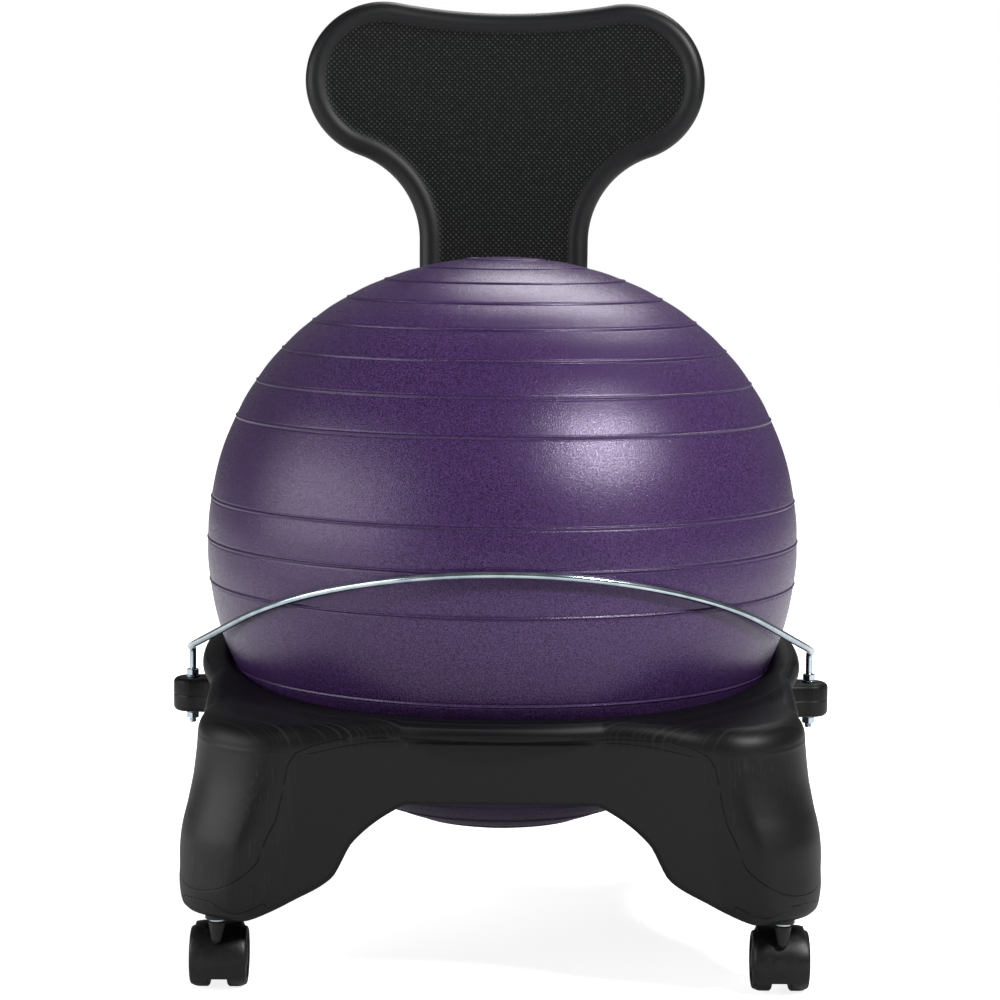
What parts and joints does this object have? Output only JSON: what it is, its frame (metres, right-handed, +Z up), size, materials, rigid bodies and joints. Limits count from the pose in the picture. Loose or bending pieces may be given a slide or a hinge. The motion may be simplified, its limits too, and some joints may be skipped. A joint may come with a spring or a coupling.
{
  "type": "balance ball chair",
  "caption": "Office chair with a ribbed inflated ball held in a moulded ring on caster legs, a steel bar round its front and a moulded T-shaped backrest behind.",
  "frame": {"origin": "on the floor, under the middle of the whole chair", "axes": "+Z up, the sitter faces -Y, the backrest is towards +Y, +X to the left of a seated sitter and to the right of a viewer in front"},
  "size_m": [0.5668, 0.5636, 0.8126],
  "materials": {
    "base_plastic": "satin",
    "back_plastic": "satin rim, fine grid texture on the face",
    "ball_vinyl": "speckled satin vinyl",
    "zinc_steel": "bright zinc plate",
    "caster_plastic": "satin",
    "valve_plastic": "satin"
  },
  "bodies": {
    "base": {"base_frame": "base_plastic", "caster_socket_front_left": "caster_plastic", "caster_stem_front_left": "zinc_steel", "caster_socket_front_right": "caster_plastic", "caster_stem_front_right": "zinc_steel", "caster_socket_rear_left": "caster_plastic", "caster_stem_rear_left": "zinc_steel", "caster_socket_rear_right": "caster_plastic", "caster_stem_rear_right": "zinc_steel", "retaining_bar": "zinc_steel", "bar_washer_upper_left": "zinc_steel", "bar_nut_upper_left": "zinc_steel", "bar_washer_lower_left": "zinc_steel", "bar_nut_lower_left": "zinc_steel", "bar_washer_upper_right": "zinc_steel", "bar_nut_upper_right": "zinc_steel", "bar_washer_lower_right": "zinc_steel", "bar_nut_lower_right": "zinc_steel", "backrest": "back_plastic", "clamp_plate": "zinc_steel", "back_bolt_washer_1": "zinc_steel", "back_bolt_1": "zinc_steel", "back_bolt_washer_2": "zinc_steel", "back_bolt_2": "zinc_steel", "back_bolt_washer_3": "zinc_steel", "back_bolt_3": "zinc_steel", "back_bolt_washer_4": "zinc_steel", "back_bolt_4": "zinc_steel"},
    "ball": {"ball": "ball_vinyl"},
    "valve": {"valve_plug": "valve_plastic"},
    "caster_front_left": {"caster_hood_front_left": "caster_plastic", "caster_axle_front_left": "zinc_steel"},
    "wheel_front_left_outboard": {"wheel_front_left_outboard": "caster_plastic"},
    "wheel_front_left_inboard": {"wheel_front_left_inboard": "caster_plastic"},
    "caster_front_right": {"caster_hood_front_right": "caster_plastic", "caster_axle_front_right": "zinc_steel"},
    "wheel_front_right_outboard": {"wheel_front_right_outboard": "caster_plastic"},
    "wheel_front_right_inboard": {"wheel_front_right_inboard": "caster_plastic"},
    "caster_rear_left": {"caster_hood_rear_left": "caster_plastic", "caster_axle_rear_left": "zinc_steel"},
    "wheel_rear_left_outboard": {"wheel_rear_left_outboard": "caster_plastic"},
    "wheel_rear_left_inboard": {"wheel_rear_left_inboard": "caster_plastic"},
    "brake_rear_left": {"brake_lever_rear_left": "caster_plastic"},
    "caster_rear_right": {"caster_hood_rear_right": "caster_plastic", "caster_axle_rear_right": "zinc_steel"},
    "wheel_rear_right_outboard": {"wheel_rear_right_outboard": "caster_plastic"},
    "wheel_rear_right_inboard": {"wheel_rear_right_inboard": "caster_plastic"},
    "brake_rear_right": {"brake_lever_rear_right": "caster_plastic"}
  },
  "joints": [
    {"name": "ball_lift", "type": "slide", "parent": "base", "child": "ball", "axis": [0, 0, 1], "range_m": [0, 0.3]},
    {"name": "valve_pull", "type": "slide", "parent": "ball", "child": "valve", "axis": [0, 0, -1], "range_m": [0, 0.02]},
    {"name": "caster_swivel_front_left", "type": "hinge", "parent": "base", "child": "caster_front_left", "pos_m": [-0.22533, -0.2364, 0.0587], "axis": [0, 0, 1], "continuous": true},
    {"name": "wheel_spin_front_left_outboard", "type": "hinge", "parent": "caster_front_left", "child": "wheel_front_left_outboard", "pos_m": [-0.24023, -0.2144, 0.025], "axis": [1, 0, 0], "continuous": true},
    {"name": "wheel_spin_front_left_inboard", "type": "hinge", "parent": "caster_front_left", "child": "wheel_front_left_inboard", "pos_m": [-0.21043, -0.2144, 0.025], "axis": [1, 0, 0], "continuous": true},
    {"name": "caster_swivel_front_right", "type": "hinge", "parent": "base", "child": "caster_front_right", "pos_m": [0.22533, -0.2364, 0.0587], "axis": [0, 0, 1], "continuous": true},
    {"name": "wheel_spin_front_right_outboard", "type": "hinge", "parent": "caster_front_right", "child": "wheel_front_right_outboard", "pos_m": [0.24023, -0.2144, 0.025], "axis": [1, 0, 0], "continuous": true},
    {"name": "wheel_spin_front_right_inboard", "type": "hinge", "parent": "caster_front_right", "child": "wheel_front_right_inboard", "pos_m": [0.21043, -0.2144, 0.025], "axis": [1, 0, 0], "continuous": true},
    {"name": "caster_swivel_rear_left", "type": "hinge", "parent": "base", "child": "caster_rear_left", "pos_m": [-0.22533, 0.21425, 0.0587], "axis": [0, 0, 1], "continuous": true},
    {"name": "wheel_spin_rear_left_outboard", "type": "hinge", "parent": "caster_rear_left", "child": "wheel_rear_left_outboard", "pos_m": [-0.24023, 0.23625, 0.025], "axis": [1, 0, 0], "continuous": true},
    {"name": "wheel_spin_rear_left_inboard", "type": "hinge", "parent": "caster_rear_left", "child": "wheel_rear_left_inboard", "pos_m": [-0.21043, 0.23625, 0.025], "axis": [1, 0, 0], "continuous": true},
    {"name": "brake_press_rear_left", "type": "hinge", "parent": "caster_rear_left", "child": "brake_rear_left", "pos_m": [-0.22533, 0.26392, 0.0451], "axis": [-1, 0, 0], "range_deg": [0, 15]},
    {"name": "caster_swivel_rear_right", "type": "hinge", "parent": "base", "child": "caster_rear_right", "pos_m": [0.22533, 0.21425, 0.0587], "axis": [0, 0, 1], "continuous": true},
    {"name": "wheel_spin_rear_right_outboard", "type": "hinge", "parent": "caster_rear_right", "child": "wheel_rear_right_outboard", "pos_m": [0.24023, 0.23625, 0.025], "axis": [1, 0, 0], "continuous": true},
    {"name": "wheel_spin_rear_right_inboard", "type": "hinge", "parent": "caster_rear_right", "child": "wheel_rear_right_inboard", "pos_m": [0.21043, 0.23625, 0.025], "axis": [1, 0, 0], "continuous": true},
    {"name": "brake_press_rear_right", "type": "hinge", "parent": "caster_rear_right", "child": "brake_rear_right", "pos_m": [0.22533, 0.26392, 0.0451], "axis": [-1, 0, 0], "range_deg": [0, 15]}
  ]
}
